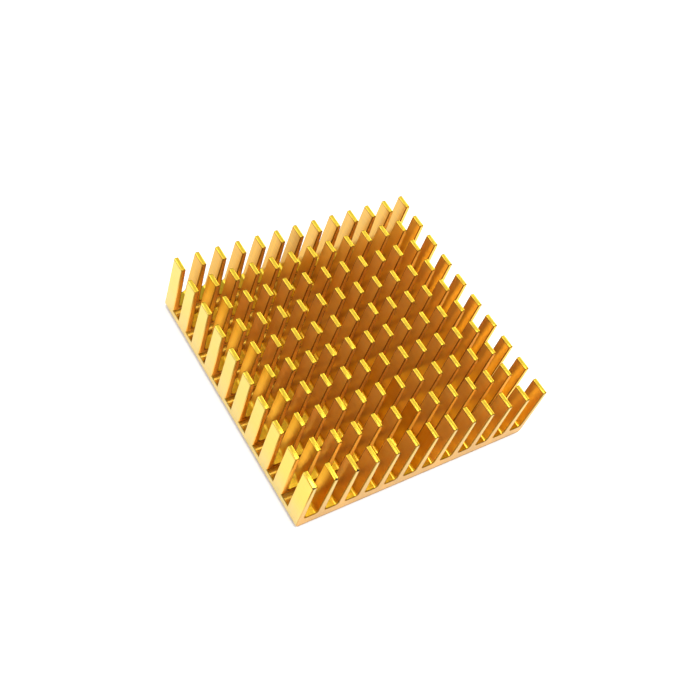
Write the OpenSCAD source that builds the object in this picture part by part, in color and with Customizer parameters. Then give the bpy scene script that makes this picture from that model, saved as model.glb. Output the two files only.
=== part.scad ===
// Pin fin heat sink: one aluminium extrusion, a flat base with a comb of tapered
// fins, cross cut by a gang saw so that every fin becomes a row of pins.
// The origin is the middle of the underside. X runs across the fins, Y runs along
// the extrusion and +Z points from the base to the fin tips. Sizes in millimetres.

/* [Overall] */
// Width across the fins
width = 40; // [36:0.5:60]
// Length along the extrusion
length = 40; // [36:0.5:60]
// Height from the underside to the fin tips
height = 11; // [8:0.5:20]

/* [Base] */
// Thickness of the base at the floor of a channel
base_t = 2.25; // [1.7:0.05:4]
// Radius of the two long edges of the underside
base_edge_r = 1; // [0.2:0.05:1.1]
// Chamfer along the underside at the two sawn ends
end_chamfer = 0.3; // [0.1:0.05:0.6]

/* [Fins] */
// Number of fins across the width
fin_count = 13; // [6:1:14]
// Thickness of a fin at its tip
fin_tip_t = 0.7; // [0.5:0.05:0.9]
// Thickness of a fin just above the fillets at its root
fin_root_t = 1.15; // [0.9:0.05:1.5]
// Radius of the two long edges of a fin tip
fin_tip_r = 0.2; // [0.05:0.01:0.24]
// Radius of the fillet between a fin and the channel floor
root_fillet_r = 0.45; // [0.1:0.05:0.7]

/* [Saw cuts] */
// Number of cross cuts
cut_count = 9; // [2:1:12]
// Width of one cross cut
cut_w = 1.8; // [0.8:0.1:2.4]
// Depth that a cross cut goes below the channel floor
cut_below_floor = 0.5; // [0.1:0.05:1]
// Length of the row of pins at the front end
front_pin_l = 2.75; // [1.5:0.05:4]
// Length of the row of pins at the back end
back_pin_l = 2.5; // [1.5:0.05:4]

/* [Hidden] */
$fn = 48;
// Room that a cutting shape takes beyond the metal it removes
spare = 1;

// The outer flanks of the first and the last fin stand flush with the base
fin_pitch = (width - fin_tip_t) / (fin_count - 1);
fin_first_x = (fin_tip_t - width) / 2;

// Heights at which the straight flank of a fin starts and ends
flank_low_z = base_t + root_fillet_r;
flank_high_z = height - fin_tip_r;

// The saw cuts, front to back, with equal pins between them
cut_pitch = (length - front_pin_l - back_pin_l - cut_w) / (cut_count - 1);
cut_first_y = front_pin_l - length / 2;
cut_floor_z = base_t - cut_below_floor;

// Quarter of a disc, in the corner between +X and +Y
module quarter(r) {
    intersection() {
        circle(r);
        square(r);
    }
}

// Right half of a fin from its middle plane: the flank leans out towards a root fillet
module leaning_half() {
    tip = fin_tip_t / 2;
    root = fin_root_t / 2;
    foot = root + root_fillet_r;
    difference() {
        polygon([
            [0, base_edge_r], [foot, base_edge_r], [foot, base_t], [root, flank_low_z],
            [tip, flank_high_z], [tip - fin_tip_r, height], [0, height]
        ]);
        translate([foot, flank_low_z]) rotate(180) quarter(root_fillet_r);
    }
    translate([tip - fin_tip_r, flank_high_z]) quarter(fin_tip_r);
}

// Outer half of the first and the last fin: the flank runs straight down into the base
module upright_half() {
    tip = fin_tip_t / 2;
    polygon([
        [0, base_edge_r], [tip, base_edge_r],
        [tip, flank_high_z], [tip - fin_tip_r, height], [0, height]
    ]);
    translate([tip - fin_tip_r, flank_high_z]) quarter(fin_tip_r);
}

// Fin number i, with its foot sunk in the base
module fin(i) {
    translate([fin_first_x + i * fin_pitch, 0]) {
        if (i < fin_count - 1) leaning_half();
        else upright_half();
        mirror([1, 0])
            if (i > 0) leaning_half();
            else upright_half();
    }
}

// The base, with its two lower corners rounded
module base() {
    side = width / 2;
    inset = side - base_edge_r;
    polygon([
        [-inset, 0], [inset, 0], [side, base_edge_r],
        [side, base_t], [-side, base_t], [-side, base_edge_r]
    ]);
    translate([inset, base_edge_r]) rotate(-90) quarter(base_edge_r);
    translate([-inset, base_edge_r]) rotate(180) quarter(base_edge_r);
}

// Cross section of the extrusion in X and Z
module section() {
    base();
    for (i = [0 : fin_count - 1]) fin(i);
}

// One slot of the gang saw, right across the fins and a little into the base
module saw_cut() {
    translate([-width / 2 - spare, 0, cut_floor_z])
        cube([width + 2 * spare, cut_w, height - cut_floor_z + spare]);
}

// Wedge that breaks the lower edge of the sawn end that faces -Y
module end_wedge() {
    reach = end_chamfer + spare;
    translate([0, -length / 2, 0])
        rotate([90, 0, 90])
            linear_extrude(width + 2 * spare, center = true)
                polygon([[-spare, reach], [-spare, -spare], [reach, -spare]]);
}

module heat_sink() {
    color("goldenrod")
        difference() {
            rotate([90, 0, 0]) linear_extrude(length, center = true) section();
            for (k = [0 : cut_count - 1])
                translate([0, cut_first_y + k * cut_pitch, 0]) saw_cut();
            for (turn = [0, 180]) rotate([0, 0, turn]) end_wedge();
        }
}

heat_sink();
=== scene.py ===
"""Gold anodised pin fin heat sink: the finished piece, its material and a plain studio."""
import math

import bmesh
import bpy
from mathutils import Matrix, Vector


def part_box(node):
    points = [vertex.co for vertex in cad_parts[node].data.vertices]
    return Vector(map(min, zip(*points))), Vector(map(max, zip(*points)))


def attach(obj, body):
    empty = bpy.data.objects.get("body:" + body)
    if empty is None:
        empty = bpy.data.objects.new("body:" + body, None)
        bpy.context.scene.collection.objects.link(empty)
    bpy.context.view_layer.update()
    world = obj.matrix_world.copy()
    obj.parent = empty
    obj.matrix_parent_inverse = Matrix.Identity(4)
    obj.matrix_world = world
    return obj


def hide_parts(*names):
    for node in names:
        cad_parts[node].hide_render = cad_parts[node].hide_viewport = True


MM = 0.001
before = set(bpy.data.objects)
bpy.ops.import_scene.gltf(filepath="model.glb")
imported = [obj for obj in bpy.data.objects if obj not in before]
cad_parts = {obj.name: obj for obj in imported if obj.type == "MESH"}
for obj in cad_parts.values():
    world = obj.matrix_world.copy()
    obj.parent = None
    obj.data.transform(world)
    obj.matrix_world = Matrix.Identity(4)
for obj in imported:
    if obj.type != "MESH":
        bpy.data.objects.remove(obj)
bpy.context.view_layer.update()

# Sizes of the extrusion and its saw cuts, in millimetres, as in the solid
WIDTH, LENGTH, HEIGHT = ((high - low) / MM for low, high in zip(*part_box("heat_sink")))
BASE_EDGE_R = 1.0
END_CHAMFER = 0.3
CHANNEL_FLOOR = 2.25
CUT_FLOOR = 1.75
FIN_COUNT = 13
FIN_TIP_T = 0.7
FIN_ROOT_T = 1.15
FIN_TIP_R = 0.2
ROOT_FILLET_R = 0.45
CUT_COUNT = 9
CUT_W = 1.8
FRONT_PIN_L = 2.75
BACK_PIN_L = 2.5

# Points that are welded into one lie closer than this, in millimetres
WELD = 0.001

# Edges: steps in each rounding of the section, the radius in millimetres and the steps of a
# broken sawn edge, and the angle in radians from which an edge counts as sharp
ARC_STEPS = 5
EDGE_BREAK = 0.14
BREAK_STEPS = 3
SHARP_ANGLE = 0.3

# Dents at the top of the first front pins, in millimetres: how far each lies across the
# width from the left corner of its tip, their radius, the dark part of it, and their depth
NICKS_ACROSS = (0.1, 0.35, 0.42)
NICK_R = 0.32
NICK_DARK = 0.7
NICK_DEPTH = 0.2

# Colours of the drawn surfaces. The flanks carry painted reflections of the fins beside them: a
# tan tone at the back row, and near the left side a deeper tone, low and high, darker higher up
# as painted shade, and by a share of that near the right side.
FLANK_GOLD = (1.0, 0.65, 0.17, 1)
SIDE_LOW_PAINTED_REFLECTION = (0.89, 0.49, 0.055, 1)
SIDE_HIGH_PAINTED_REFLECTION = (0.67, 0.35, 0.025, 1)
PAINTED_SIDE_SHARE_RIGHT = 0.4
# Painted reflection on the flanks of the back row
BACK_ROW_PAINTED_REFLECTION = (0.58, 0.37, 0.12, 1)
TIP_GOLD = (0.76, 0.53, 0.043, 1)
# Painted glint: a saturated yellow along the fillets
FILLET_PAINTED_GLINT = (0.7, 0.5, 0.039, 1)
# Painted shade on the channel floor between the fins
CHANNEL_PAINTED_SHADE = (0.46, 0.35, 0.022, 1)

# Colours of the two outer sides, at the front, further back and low on the base: their change
# from front to back and towards the base is a painted reflection of the floor
OUTER_FRONT_PAINTED_REFLECTION = (0.81, 0.58, 0.073, 1)
OUTER_BACK_PAINTED_REFLECTION = (0.6, 0.53, 0.13, 1)
OUTER_LOW_PAINTED_REFLECTION = (0.62, 0.53, 0.21, 1)

# Colours of the sawn surfaces: between the rows, on the two ends, darker low as painted shade and
# paler high as painted light, and on the floor of a cut, in painted shade
SAWN_DEEP = (0.98, 0.54, 0.1, 1)
SAWN_GOLD = (0.98, 0.65, 0.15, 1)
END_LOW_PAINTED_SHADE = (0.5, 0.3, 0.096, 1)
END_HIGH_PAINTED_LIGHT = (0.56, 0.46, 0.15, 1)
# Painted shade on the floor of each saw cut
GROOVE_PAINTED_SHADE = (0.22, 0.14, 0.005, 1)

# Colours of the underside and of the scuffs on it
UNDER_GOLD = (0.96, 0.66, 0.13, 1)
SCUFF_GOLD = (1.0, 0.84, 0.4, 1)

# Colours of dye streaks, of painted shade along the broken edges and on the foot of the base, of
# the near-black spots in the nicks, and what the metal shows when it is seen edge on
DEEP_GOLD = (1.0, 0.54, 0.07, 1)
EDGE_PAINTED_SHADE = (0.2, 0.08, 0.0, 1)
FOOT_PAINTED_SHADE = (0.26, 0.13, 0.04, 1)
NICK_GOLD = (0.06, 0.035, 0.015, 1)
GRAZING_GOLD = (1.0, 0.72, 0.4, 1)

# How strongly the wear, the dye and the marks show, and the painted shade along the edges and in
# the cuts, the level of its pattern from which a streak shows, and the contrast of the marks of
# the saw's teeth
STREAK_LEVEL = 0.45
STREAK_SHARE = 0.8
RUN_SHARE = 0.9
MOTTLE_SHARE = 0.25
SCUFF_SHARE = 0.5
RUBBED_SHARE = 0.7
EDGE_SHADE = 0.8
FAINT_CORNER = 0.8
GROOVE_PAINTED_SHADE_SHARE = 0.85
TOOTH_CONTRAST = 2.5
END_TOOTH_SHARE = 0.3

# Size of one feature of each pattern along x, y and z, in millimetres
STRANDS = (0.05, 3, 0.05)
DIE_LINES = (0.22, 25, 0.22)
DYE_RUNS = (3, 0.3, 14)
MOTTLE = (2.5, 5, 2.5)

# The same for tooth marks, across them and along y, and for scuffs, across and along them
TOOTH_MARKS = (0.12, 2)
SCUFFS = (0.1, 6)

# Finish: roughness, and how far and by what part of a turn it is stretched along the strands
METAL_ROUGHNESS = 0.33
TIP_ROUGHNESS = 0.2
UNEVEN_ROUGHNESS = 0.1
STRETCH = 0.85
STRETCH_TURN = 0.25

# Weight of the clear film: everywhere, and what the outer, sawn and end faces add to it
FILM = 0.05
OUTER_FILM = 0.5
SAWN_FILM = 0.2
END_FILM = 0.3
FILM_ROUGHNESS = 0.2
FILM_IOR = 1.5

# Marks: lean of the strands, the share of it on tips and channel floors, depth of the lines
# in millimetres, and the radius of the saw blade
LINE_TILT = 0.35
FINE_SHARE = 0.2
MARK_DEPTH = 0.015
BLADE_R = 30.0

# Studio, in metres: light of the sky, distance of the lamps, half width of the floor, and the
# glow that the floor shows, which is fainter near the part so that its shadow stays
SKY_LIGHT = 0.8
LAMP_DISTANCE = 0.45
FLOOR_HALF = 2.0
PAPER = (0.9, 0.9, 0.9, 1)
WHITE = (1, 1, 1, 1)
FAR_GLOW = 0.4
NEAR_SHADE = (0.3, 0.3, 0.3, 1)
NEAR_RADIUS = 0.05
FAR_RADIUS = 0.4
MIRRORED_GLOW = 0.25


# ---------------------------------------------------------------- node graphs

class Link:
    """An output socket of a node graph. Python's operators on it add Math nodes."""

    def __init__(self, graph, socket):
        self.graph = graph
        self.socket = socket

    def math(self, operation, *values):
        return self.graph.node("ShaderNodeMath", {"operation": operation}, values)

    def __add__(self, other):
        return self.math("ADD", self, other)

    __radd__ = __add__

    def __mul__(self, other):
        return self.math("MULTIPLY", self, other)

    __rmul__ = __mul__

    def __sub__(self, other):
        return self.math("SUBTRACT", self, other)

    def __rsub__(self, other):
        return self.math("SUBTRACT", other, self)

    def __truediv__(self, other):
        return self.math("DIVIDE", self, other)

    def __rtruediv__(self, other):
        return self.math("DIVIDE", other, self)

    def __pow__(self, other):
        return self.math("POWER", self, other)

    def __mod__(self, other):
        return self.math("FLOORED_MODULO", self, other)

    def __gt__(self, other):
        return self.math("GREATER_THAN", self, other)

    def __lt__(self, other):
        return self.math("LESS_THAN", self, other)

    def __neg__(self):
        return self * -1

    def __abs__(self):
        return self.math("ABSOLUTE", self)

    def floor(self):
        return self.math("FLOOR", self)

    def at_least(self, other):
        return self.math("MAXIMUM", self, other)

    def at_most(self, other):
        return self.math("MINIMUM", self, other)

    def ramp(self, start, end):
        """0 at start, 1 at end and smooth in between."""
        settings = {"interpolation_type": "SMOOTHSTEP"}
        return self.graph.node("ShaderNodeMapRange", settings,
                               {"Value": self, "From Min": start, "From Max": end})


class Graph:
    """A node tree that is written as expressions."""

    def __init__(self, tree):
        self.tree = tree
        tree.nodes.clear()

    def node(self, kind, settings=None, values=(), out=0):
        """Adds a node, sets its options, then its inputs by order or by name."""
        made = self.tree.nodes.new(kind)
        for name, value in (settings or {}).items():
            setattr(made, name, value)
        named = values.items() if isinstance(values, dict) else enumerate(values)
        for key, value in named:
            self.feed(made.inputs[key], value)
        return None if out is None else Link(self, made.outputs[out])

    def feed(self, socket, value):
        """Links a value that another node makes, or sets a plain one."""
        if isinstance(value, Link):
            self.tree.links.new(value.socket, socket)
        else:
            socket.default_value = value


def choose(condition, if_false, if_true):
    """if_true where the condition is 1 and if_false where it is 0."""
    return if_false + condition * (if_true - if_false)


def point(graph, x=0, y=0, z=0):
    """A vector made of three numbers."""
    return graph.node("ShaderNodeCombineXYZ", values=(x, y, z))


def vector(graph, operation, *values, out=0):
    """Vector arithmetic. A length or a distance comes from output 1."""
    return graph.node("ShaderNodeVectorMath", {"operation": operation}, values, out)


def mix(graph, factor, first, second):
    """A colour between two others."""
    return graph.node("ShaderNodeMix", {"data_type": "RGBA"}, {0: factor, 6: first, 7: second}, 2)


def noise(graph, place, detail, out=0):
    """Noise with one feature for each unit of its place."""
    return graph.node("ShaderNodeTexNoise", values={
        "Vector": place, "Scale": 1.0, "Detail": detail, "Roughness": 0.55}, out=out)


# ---------------------------------------------------------------- camera and studio

def set_camera():
    """Looks down on the near left corner, turned a little about its own axis."""
    azimuth = math.radians(-50.38)
    elevation = math.radians(50.79)
    roll = math.radians(23.91)
    aim = Vector((-0.56, -0.13, 5.5)) * MM
    distance = 162.7 * MM
    back = Vector((math.sin(azimuth) * math.cos(elevation),
                   -math.cos(azimuth) * math.cos(elevation),
                   math.sin(elevation)))
    data = bpy.data.cameras.new("camera")
    data.sensor_width = 36
    data.lens = 57.42
    data.clip_start = 0.01
    data.clip_end = 10
    camera = bpy.data.objects.new("camera", data)
    facing = back.to_track_quat("Z", "Y").to_matrix()
    turned = facing @ Matrix.Rotation(roll, 3, "Z")
    camera.matrix_world = Matrix.Translation(aim + distance * back) @ turned.to_4x4()
    bpy.context.scene.collection.objects.link(camera)
    bpy.context.scene.camera = camera


def area_light(name, azimuth, elevation, size, power):
    """A square softbox that faces the middle of the part."""
    turn, rise = math.radians(azimuth), math.radians(elevation)
    out = Vector((math.sin(turn) * math.cos(rise), -math.cos(turn) * math.cos(rise),
                  math.sin(rise)))
    data = bpy.data.lights.new(name, "AREA")
    data.size = size
    data.energy = power
    lamp = bpy.data.objects.new(name, data)
    lamp.matrix_world = (Matrix.Translation(out * LAMP_DISTANCE)
                         @ out.to_track_quat("Z", "Y").to_matrix().to_4x4())
    bpy.context.scene.collection.objects.link(lamp)


def seen(graph, direct, mirrored, light):
    """A strength for what the camera sees, for its image in the metal, and for light."""
    rays = graph.tree.nodes.new("ShaderNodeLightPath")
    kinds = ("Is Camera Ray", "Is Glossy Ray", "Is Transmission Ray")
    camera, glossy, through = (Link(graph, rays.outputs[kind]) for kind in kinds)
    image = (glossy + through).at_most(1)
    return choose(camera, choose(image, light, mirrored), direct)


def set_world():
    """An even sky that lights the part, seen and mirrored as plain white."""
    world = bpy.data.worlds.new("studio")
    world.use_nodes = True
    bpy.context.scene.world = world
    graph = Graph(world.node_tree)
    sky = graph.node("ShaderNodeBackground",
                     values={"Color": WHITE, "Strength": seen(graph, 1.0, 1.0, SKY_LIGHT)})
    graph.node("ShaderNodeOutputWorld", values={"Surface": sky}, out=None)


def white_paper():
    """Pale matt paper with a glow that only the camera and the metal's mirror image see."""
    material = bpy.data.materials.new("white paper")
    material.use_nodes = True
    graph = Graph(material.node_tree)
    paper = graph.node("ShaderNodeBsdfDiffuse", values={"Color": PAPER})
    place = graph.node("ShaderNodeTexCoord", out="Object")
    away = vector(graph, "LENGTH", place, out=1).ramp(NEAR_RADIUS, FAR_RADIUS)
    glow = graph.node("ShaderNodeEmission", values={
        "Color": mix(graph, away, NEAR_SHADE, WHITE), "Strength": seen(graph, FAR_GLOW, 0, 0)})
    image = graph.node("ShaderNodeEmission", values={
        "Color": WHITE, "Strength": seen(graph, 0, MIRRORED_GLOW, 0)})
    lit = graph.node("ShaderNodeAddShader", values=[paper, glow])
    whole = graph.node("ShaderNodeAddShader", values=[lit, image])
    graph.node("ShaderNodeOutputMaterial", values={"Surface": whole}, out=None)
    return material


def make_floor():
    """A wide sheet of white paper under the part."""
    mesh = bpy.data.meshes.new("floor")
    corners = [(x * FLOOR_HALF, y * FLOOR_HALF, 0)
               for x, y in ((-1, -1), (1, -1), (1, 1), (-1, 1))]
    mesh.from_pydata(corners, [], [(0, 1, 2, 3)])
    mesh.materials.append(white_paper())
    floor = bpy.data.objects.new("floor", mesh)
    bpy.context.scene.collection.objects.link(floor)


# ---------------------------------------------------------------- the finned body

def tree_inputs(graph, defaults):
    kinds = {float: "NodeSocketFloat", int: "NodeSocketInt"}
    for name, value in defaults.items():
        kind = kinds.get(type(value), "NodeSocketMaterial")
        graph.tree.interface.new_socket(name, in_out="INPUT", socket_type=kind)
    source = graph.tree.nodes.new("NodeGroupInput")
    return {name: Link(graph, source.outputs[name]) for name in defaults}


def outline(graph, count, x, y, radius):
    """A closed outline in the XY plane, straight between its corners, each with a radius."""
    line = graph.node("GeometryNodeMeshLine", values={"Count": count})
    corners = graph.node("GeometryNodeSetPosition",
                         values={"Geometry": line, "Position": point(graph, x, y)})
    curve = graph.node("GeometryNodeMeshToCurve", values={"Mesh": corners})
    closed = graph.node("GeometryNodeSetSplineCyclic", values={"Geometry": curve, "Cyclic": True})
    return graph.node("GeometryNodeFilletCurve", {"mode": "POLY"},
                      {"Curve": closed, "Count": ARC_STEPS, "Radius": radius})


def tube(graph, curve):
    """The side faces of an outline that is drawn out over a length of 1."""
    edges = graph.node("GeometryNodeCurveToMesh", values={"Curve": curve})
    return graph.node("GeometryNodeExtrudeMesh", {"mode": "EDGES"},
                      {"Mesh": edges, "Offset": point(graph, z=-1)})


def sawn(graph, mesh, selection=True):
    """Marks faces that the saw made."""
    return graph.node("GeometryNodeStoreNamedAttribute",
                      {"data_type": "FLOAT", "domain": "FACE"},
                      {"Geometry": mesh, "Selection": selection, "Name": "sawn", "Value": 1.0})


def lid(graph, curve, depth=0):
    """The flat sawn face inside an outline, at a depth from 0 to 1 along its tube."""
    face = graph.node("GeometryNodeFillCurve", {"mode": "NGONS"}, {"Curve": curve})
    moved = graph.node("GeometryNodeTransform",
                       values={"Geometry": face, "Translation": (0, 0, -depth)})
    return sawn(graph, moved)


def join(graph, *parts):
    """All the parts as one geometry, in the order given."""
    made = graph.node("GeometryNodeJoinGeometry")
    for part in reversed(parts):
        graph.tree.links.new(part.socket, made.socket.node.inputs[0])
    return made


def lengthwise(graph, section, count, start, reach):
    """Copies of a section set out along the extrusion, each drawn out to its own length."""
    places = graph.node("GeometryNodePoints",
                        values={"Count": count, "Position": point(graph, y=start)})
    upright = graph.node("GeometryNodeTransform",
                         values={"Geometry": section, "Rotation": (math.pi / 2, 0, 0)})
    return graph.node("GeometryNodeInstanceOnPoints",
                      values={"Points": places, "Instance": upright,
                              "Scale": point(graph, 1, reach, 1)})


def comb_corners(size, index):
    """Place and radius of each corner of the comb above the saw cuts.

    A fin has four corners: foot, tip, tip and foot. The outer feet of the first and the last
    fin run down to the floor of the cuts.
    """
    half_width = size["Width"] / 2
    last = size["Fins"] * 4 - 1
    fin = (index / 4).floor()
    corner = index % 4
    tip = abs(corner - 1.5) < 1
    end = abs(index - last / 2) > last / 2 - 0.5
    pitch = (size["Width"] - size["Tip Thickness"]) / (size["Fins"] - 1)
    middle = size["Tip Thickness"] / 2 - half_width + fin * pitch
    flank = choose(tip, size["Foot Thickness"], size["Tip Thickness"]) / 2
    x = choose(end, middle + flank * (2 * (corner > 1.5) - 1),
               half_width * (2 * (index > last / 2) - 1))
    y = choose(end, choose(tip, size["Channel Floor"], size["Height"]), size["Cut Floor"])
    radius = choose(end, choose(tip, size["Root Fillet"], size["Tip Radius"]), 0)
    return x, y, radius


def sections(graph, size, index):
    """Outlines of the comb above the cuts, of the whole section and of the base below."""
    half_width = size["Width"] / 2
    last = size["Fins"] * 4 - 1
    x, y, radius = comb_corners(size, index)
    comb = outline(graph, last + 1, x, y, radius)

    # The whole section adds the two lower corners of the base
    under = index > last + 0.5
    lower_x = half_width * (1 - 2 * (index > last + 1.5))
    whole = outline(graph, last + 3, choose(under, x, lower_x), choose(under, y, 0),
                    choose(under, radius, size["Base Edge Radius"]))

    low = abs(index - 1.5) < 1
    base = outline(graph, 4, half_width * (2 * (index > 1.5) - 1),
                   choose(low, size["Cut Floor"], 0), size["Base Edge Radius"] * low)
    return comb, whole, base


def rows(size, index):
    """Where each cut starts, and where each row of pins starts and ends."""
    half_length = size["Length"] / 2
    inner_rows = size["Length"] - size["Front Pins"] - size["Back Pins"]
    cut_pitch = (inner_rows - size["Cut Width"]) / (size["Cuts"] - 1)
    cut_start = size["Front Pins"] - half_length + index * cut_pitch
    row_start = choose(index < 0.5, cut_start - cut_pitch + size["Cut Width"], -half_length)
    row_end = choose(index > size["Cuts"] - 0.5, cut_start, half_length)
    return cut_start, row_start, row_end


def body_tree(sizes):
    """The section of the extrusion, drawn out as rows of pins with a saw cut between rows."""
    graph = Graph(bpy.data.node_groups.new("pin fin body", "GeometryNodeTree"))
    size = tree_inputs(graph, sizes)
    index = graph.node("GeometryNodeInputIndex")
    comb, whole, base = sections(graph, size, index)
    cut_start, row_start, row_end = rows(size, index)
    pins = join(graph, tube(graph, whole), lid(graph, comb), lid(graph, comb, 1))
    height = graph.node("ShaderNodeSeparateXYZ",
                        values=[graph.node("GeometryNodeInputPosition")], out=1)
    groove = sawn(graph, tube(graph, base), height > size["Cut Floor"] - size["Weld"])
    end_start = (index - 0.5) * size["Length"]
    parts = join(graph,
                 lengthwise(graph, pins, size["Cuts"] + 1, row_start, row_end - row_start),
                 lengthwise(graph, groove, size["Cuts"], cut_start, size["Cut Width"]),
                 lengthwise(graph, lid(graph, base), 2, end_start, 1))
    real = graph.node("GeometryNodeRealizeInstances", values=[parts])
    welded = graph.node("GeometryNodeMergeByDistance",
                        values={"Geometry": real, "Distance": size["Weld"]})
    finished = graph.node("GeometryNodeSetMaterial",
                          values={"Geometry": welded, "Material": size["Material"]})
    graph.tree.interface.new_socket("Geometry", in_out="OUTPUT", socket_type="NodeSocketGeometry")
    graph.node("NodeGroupOutput", values={"Geometry": finished}, out=None)
    return graph.tree


def plain_mesh(obj):
    """Turns what an object's modifiers make into its own mesh and takes them off."""
    bpy.context.view_layer.update()
    graph = bpy.context.evaluated_depsgraph_get()
    mesh = bpy.data.meshes.new_from_object(obj.evaluated_get(graph))
    obj.modifiers.clear()
    obj.data = mesh


def make_body(material):
    """The whole finned body as one plain welded mesh, before its edges are finished."""
    # Thickness of a fin where its flanks, drawn on, meet the tip and the channel floor
    lean = (FIN_ROOT_T - FIN_TIP_T) / (HEIGHT - FIN_TIP_R - CHANNEL_FLOOR - ROOT_FILLET_R)
    tip_t = FIN_TIP_T - lean * FIN_TIP_R
    foot_t = FIN_ROOT_T + lean * ROOT_FILLET_R
    mesh = bpy.data.meshes.new("finned_body")
    body = bpy.data.objects.new("finned_body", mesh)
    bpy.context.scene.collection.objects.link(body)
    sizes = {
        "Width": WIDTH * MM, "Length": LENGTH * MM, "Height": HEIGHT * MM,
        "Fins": FIN_COUNT, "Tip Thickness": tip_t * MM, "Foot Thickness": foot_t * MM,
        "Tip Radius": FIN_TIP_R * MM, "Channel Floor": CHANNEL_FLOOR * MM,
        "Root Fillet": ROOT_FILLET_R * MM, "Base Edge Radius": BASE_EDGE_R * MM,
        "Cuts": CUT_COUNT, "Cut Width": CUT_W * MM, "Cut Floor": CUT_FLOOR * MM,
        "Front Pins": FRONT_PIN_L * MM, "Back Pins": BACK_PIN_L * MM,
        "Weld": WELD * MM, "Material": material}
    shape = body.modifiers.new("section and cuts", "NODES")
    shape.node_group = body_tree(sizes)
    for item in shape.node_group.interface.items_tree:
        if item.in_out == "INPUT":
            shape[item.identifier] = sizes[item.name]
    plain_mesh(body)
    body.data.materials.clear()
    body.data.materials.append(material)
    body.data.polygons.foreach_set("material_index", [0] * len(body.data.polygons))
    return body


def nick_places():
    """The top near corner of the first front pins, where each has a small nick."""
    pitch = (WIDTH - FIN_TIP_T) / (FIN_COUNT - 1)
    return [Vector((across - WIDTH / 2 + fin * pitch, -LENGTH / 2, HEIGHT)) * MM
            for fin, across in enumerate(NICKS_ACROSS)]


def chamfer_ends(mesh):
    """Cuts a small flat along the lower edge of both sawn ends."""
    for side in (-1, 1):
        corner = Vector((0, side * LENGTH / 2, END_CHAMFER)) * MM
        cut = bmesh.ops.bisect_plane(
            mesh, geom=mesh.verts[:] + mesh.edges[:] + mesh.faces[:],
            plane_co=corner, plane_no=(0, side, -1), clear_outer=True)
        rim = [e for e in cut["geom_cut"] if isinstance(e, bmesh.types.BMEdge)]
        bmesh.ops.edgeloop_fill(mesh, edges=rim)
    bmesh.ops.recalc_face_normals(mesh, faces=mesh.faces[:])


def break_sawn_edges(mesh):
    """Rounds the sharp edges between sawn and drawn faces, and marks the new faces."""
    sawn_layer = mesh.faces.layers.float["sawn"]
    edge_layer = mesh.faces.layers.float.new("broken_edge")
    sharp = []
    for edge in mesh.edges:
        first, second = edge.link_faces
        if (first[sawn_layer] != second[sawn_layer]
                and edge.calc_face_angle_signed() > SHARP_ANGLE):
            sharp.append(edge)
    rounded = bmesh.ops.bevel(mesh, geom=sharp, offset=EDGE_BREAK * MM, segments=BREAK_STEPS,
                              profile=0.5, affect="EDGES", clamp_overlap=False)
    for face in rounded["faces"]:
        face[edge_layer] = 1


def dent_nicks(mesh):
    """Presses the top of a pin down round the middle of each nick."""
    for spot in nick_places():
        for vertex in mesh.verts:
            near = 1 - (vertex.co - spot).length / (NICK_R * MM)
            if near > 0:
                vertex.co.z -= NICK_DEPTH * MM * near


def finish_edges(body):
    """Finishes every edge of the body and lets its flat faces shade flat."""
    mesh = bmesh.new()
    mesh.from_mesh(body.data)
    chamfer_ends(mesh)
    break_sawn_edges(mesh)
    dent_nicks(mesh)
    mesh.to_mesh(body.data)
    mesh.free()
    body.data.shade_smooth()
    shading = body.modifiers.new("flat faces stay flat", "WEIGHTED_NORMAL")
    shading.keep_sharp = True
    shading.mode = "FACE_AREA"
    plain_mesh(body)


# ---------------------------------------------------------------- gold anodised metal

def nicked(graph, place):
    """1 in the middle of a nick and 0 away from it."""
    total = 0
    for spot in nick_places():
        reach = vector(graph, "DISTANCE", place, spot, out=1) / MM
        total = total + 1 - reach.ramp(NICK_R * NICK_DARK, NICK_R)
    return total.at_most(1)


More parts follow.
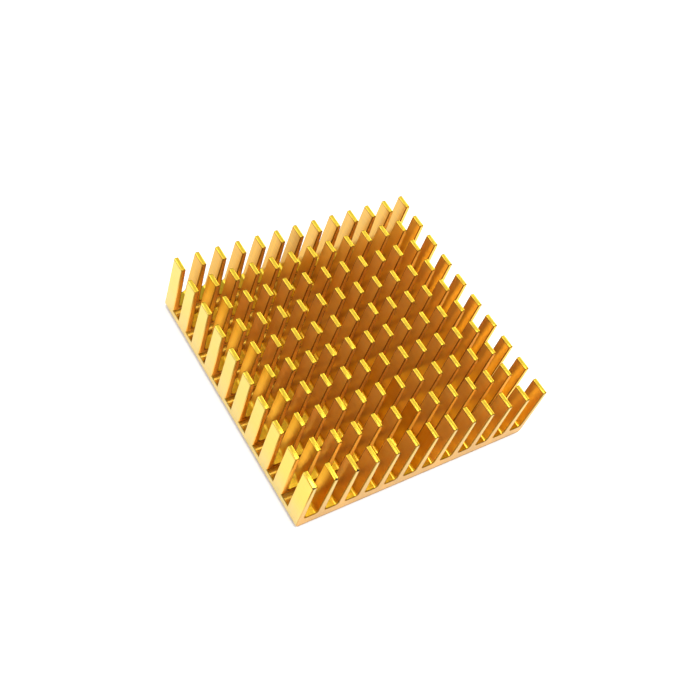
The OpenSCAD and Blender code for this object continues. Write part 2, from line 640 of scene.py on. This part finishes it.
def surface_parts(graph):
    """Where a point is on the body, in millimetres, and which surfaces it belongs to.

    Each ramp runs between two places in millimetres, so that the surfaces meet softly.
    """
    place = graph.node("ShaderNodeTexCoord", out="Object")
    x, y, z = (graph.node("ShaderNodeSeparateXYZ", values=[place], out=n) / MM for n in range(3))
    sawn_face = graph.node("ShaderNodeAttribute", {"attribute_name": "sawn"}, out="Fac")
    broken = graph.node("ShaderNodeAttribute", {"attribute_name": "broken_edge"}, out="Fac")
    drawn_face = 1 - sawn_face

    # The valley is the channel floor and the fillets beside it
    inner = (WIDTH / 2 - abs(x) > 0.5) * (z > 1)
    valley = (1 - z.ramp(CHANNEL_FLOOR + 0.25, CHANNEL_FLOOR + 0.45)) * drawn_face * inner
    channel = valley * (1 - z.ramp(CHANNEL_FLOOR + 0.01, CHANNEL_FLOOR + 0.04))

    # A thin dark line of painted shade runs along each flank, just where the rounding of the tip
    # starts
    shoulder_z = HEIGHT - FIN_TIP_R
    shoulder_shade_line = z.ramp(shoulder_z - 0.12, shoulder_z - 0.04) * drawn_face
    shoulder_shade_line = shoulder_shade_line * (1 - z.ramp(shoulder_z, shoulder_z + 0.06))

    # Low on the four upright corners of the body the painted edge shade is fainter
    faint = (abs(x) > WIDTH / 2 - 0.25) * (1 - z.ramp(5, 10)) * FAINT_CORNER
    end_face = sawn_face * abs(y).ramp(LENGTH / 2 - 0.3, LENGTH / 2 - 0.1)
    return {
        "x": x, "y": y, "z": z, "sawn": sawn_face,
        "back": y.ramp(LENGTH / 2 - BACK_PIN_L - 0.3, LENGTH / 2 - BACK_PIN_L),
        "tip": z.ramp(HEIGHT - FIN_TIP_R * 0.7, HEIGHT - FIN_TIP_R * 0.3) * drawn_face,
        "outer": abs(x).ramp(WIDTH / 2 - 0.3, WIDTH / 2 - 0.15) * drawn_face,
        "under": z < 0.02, "valley": valley, "channel": channel, "fillet": valley - channel,
        "end": end_face,
        "groove": sawn_face * (1 - z.ramp(CUT_FLOOR + 0.05, CUT_FLOOR + 0.1)) * (1 - end_face),
        # Painted shade along the edges and the shoulder lines
        "edge": (broken + shoulder_shade_line).at_most(1) * (1 - faint),
        # Painted shade on the foot of the base
        "foot": (z > 0.02) * (1 - z.ramp(0.4, 0.65)), "nick": nicked(graph, place)}


def pattern(graph, part, size, detail, out=0):
    """Noise whose features have the given size along x, y and z."""
    place = point(graph, part["x"] / size[0], part["y"] / size[1], part["z"] / size[2])
    return noise(graph, place, detail, out)


def surface_marks(graph, part):
    """Patterns that the die, the saw and the dye bath leave, each from 0 to 1."""
    x, y, z = part["x"], part["y"], part["z"]

    # A tooth of the blade moves on an arc whose lowest point is on the floor of the cut
    drop = z - (CUT_FLOOR + BLADE_R)
    tooth = x + (BLADE_R * BLADE_R - drop * drop).at_least(0) ** 0.5
    teeth = point(graph, tooth / TOOTH_MARKS[0], y / TOOTH_MARKS[1], 0)

    # Scuffs on the underside run askew
    askew = point(graph, (x * 0.8 + y * 0.6) / SCUFFS[0], (y * 0.8 - x * 0.6) / SCUFFS[1], 0)
    return {
        "strands": pattern(graph, part, STRANDS, 1.0, "Color"),
        "die": pattern(graph, part, DIE_LINES, 3.0),
        "runs": pattern(graph, part, DYE_RUNS, 3.0),
        "mottle": pattern(graph, part, MOTTLE, 3.0),
        "teeth": noise(graph, teeth, 2.0),
        "scuffs": noise(graph, askew, 1.0).ramp(0.6, 0.7)}


def drawn_colour(graph, part, marks):
    """The surfaces that the die made, with painted reflections on the outer sides and the flanks,
    a painted glint on the fillets and painted shade on the channel floor. Their ramps run between
    places in millimetres.
    """
    x, y, z = part["x"], part["y"], part["z"]
    # Painted reflection: the outer sides change tone from front to back and low on the base
    painted_outside = mix(graph, y.ramp(-LENGTH * 0.6, LENGTH * 0.1), OUTER_FRONT_PAINTED_REFLECTION, OUTER_BACK_PAINTED_REFLECTION)
    painted_outside = mix(graph, 1 - z.ramp(1, 7), painted_outside, OUTER_LOW_PAINTED_REFLECTION)
    # Painted reflection near the left and right sides, with painted shade higher up
    side = mix(graph, z.ramp(6, 10.5), SIDE_LOW_PAINTED_REFLECTION, SIDE_HIGH_PAINTED_REFLECTION)
    painted_side_share = 1 - x.ramp(-17, -12) + x.ramp(12, 17) * PAINTED_SIDE_SHARE_RIGHT
    flank = mix(graph, painted_side_share, FLANK_GOLD, side)
    # Painted reflection on the flanks of the back row
    flank = mix(graph, part["back"], flank, BACK_ROW_PAINTED_REFLECTION)
    colour = mix(graph, part["outer"], flank, painted_outside)
    colour = mix(graph, part["tip"], colour, TIP_GOLD)
    # Painted glint along the fillets
    colour = mix(graph, part["fillet"], colour, FILLET_PAINTED_GLINT)
    # Painted shade on the channel floor
    colour = mix(graph, part["channel"], colour, CHANNEL_PAINTED_SHADE)
    rubbed = mix(graph, marks["scuffs"] * SCUFF_SHARE, UNDER_GOLD, SCUFF_GOLD)
    rubbed = mix(graph, marks["die"].ramp(0.42, 0.6) * RUBBED_SHARE, rubbed, DEEP_GOLD)
    colour = mix(graph, part["under"], colour, rubbed)
    streak = (marks["die"] - STREAK_LEVEL) * STREAK_SHARE
    return mix(graph, streak.at_least(0), colour, DEEP_GOLD)


def sawn_colour(graph, part, marks):
    """The surfaces that the saw made, lighter where a tooth has scraped, with painted shade low
    on the ends, painted light high on them, and painted shade on the floor of each cut.
    """
    tooth = ((marks["teeth"] - 0.4) * TOOTH_CONTRAST).at_least(0).at_most(1)
    colour = mix(graph, tooth, SAWN_DEEP, SAWN_GOLD)
    # Painted shade low on the two ends, painted light towards their top
    end = mix(graph, part["z"].ramp(1, 10.5), END_LOW_PAINTED_SHADE, END_HIGH_PAINTED_LIGHT)
    end = mix(graph, tooth * END_TOOTH_SHARE, end, SAWN_GOLD)
    colour = mix(graph, part["end"], colour, end)
    # Painted shade on the floor of each saw cut
    return mix(graph, part["groove"] * GROOVE_PAINTED_SHADE_SHARE, colour, GROOVE_PAINTED_SHADE)


def surface_colour(graph, part, marks):
    """Both kinds of surface, with the unevenness of the dye, painted shade along the edges and on
    the foot, and the dark nicks on top.
    """
    drawn = drawn_colour(graph, part, marks)
    colour = mix(graph, part["sawn"], drawn, sawn_colour(graph, part, marks))
    uneven = (marks["mottle"] - 0.5) * MOTTLE_SHARE
    uneven = uneven + (marks["runs"] - STREAK_LEVEL) * RUN_SHARE
    uneven = uneven * (1 - part["tip"])
    colour = mix(graph, uneven.at_least(0), colour, DEEP_GOLD)
    # Painted shade along the broken edges and the shoulder lines
    colour = mix(graph, part["edge"] * EDGE_SHADE, colour, EDGE_PAINTED_SHADE)
    # Painted shade along the foot of the base
    colour = mix(graph, part["foot"], colour, FOOT_PAINTED_SHADE)
    # A near-black spot in the middle of each dent
    return mix(graph, part["nick"], colour, NICK_GOLD)


def surface_normal(graph, part, marks):
    """Leans the surface a little to either side of each strand, and cuts the saw marks."""
    fine = (part["tip"] + part["valley"]).at_most(1)
    lean = choose(fine, LINE_TILT, LINE_TILT * FINE_SHARE)
    tilt = vector(graph, "MULTIPLY",
                  vector(graph, "SUBTRACT", marks["strands"], (0.5, 0.5, 0.5)),
                  point(graph, lean, 0, lean))
    flat = graph.node("ShaderNodeNewGeometry", out="Normal")
    lined = vector(graph, "NORMALIZE", vector(graph, "ADD", flat, tilt))
    return graph.node("ShaderNodeBump", values={
        "Strength": 1.0, "Distance": MARK_DEPTH * MM,
        "Height": choose(part["under"], marks["teeth"] * part["sawn"], marks["die"]),
        "Normal": lined})


def anodised_gold():
    """Aluminium in a clear gold film, glossier along the strands of the extrusion."""
    material = bpy.data.materials.new("gold_anodised")
    material.use_nodes = True
    graph = Graph(material.node_tree)
    part = surface_parts(graph)
    marks = surface_marks(graph, part)
    drawn_roughness = choose(part["tip"], METAL_ROUGHNESS, TIP_ROUGHNESS)
    rough = choose(part["sawn"], drawn_roughness, METAL_ROUGHNESS)
    rough = rough + (marks["mottle"] - 0.5) * UNEVEN_ROUGHNESS
    film = FILM + part["outer"] * OUTER_FILM + part["sawn"] * SAWN_FILM + part["end"] * END_FILM
    film = film * (1 - part["edge"]) * (1 - part["foot"]) * (1 - part["nick"])
    metal = graph.node("ShaderNodeBsdfPrincipled", values={
        "Base Color": surface_colour(graph, part, marks), "Metallic": 1.0, "Roughness": rough,
        "Normal": surface_normal(graph, part, marks), "Specular Tint": GRAZING_GOLD,
        "Anisotropic": STRETCH, "Anisotropic Rotation": STRETCH_TURN,
        "Coat Weight": film, "Coat Roughness": FILM_ROUGHNESS, "Coat IOR": FILM_IOR})
    graph.node("ShaderNodeOutputMaterial", values={"Surface": metal}, out=None)
    return material


# ---------------------------------------------------------------- put together

bpy.context.scene.view_settings.view_transform = "Standard"
set_camera()
make_floor()
set_world()
area_light("window", azimuth=-140, elevation=30, size=0.25, power=0.36)
area_light("reflector", azimuth=112, elevation=16, size=0.25, power=0.7)
area_light("ceiling", azimuth=0, elevation=80, size=0.3, power=1.7)
body = make_body(anodised_gold())
finish_edges(body)
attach(body, "root")
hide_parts("heat_sink")
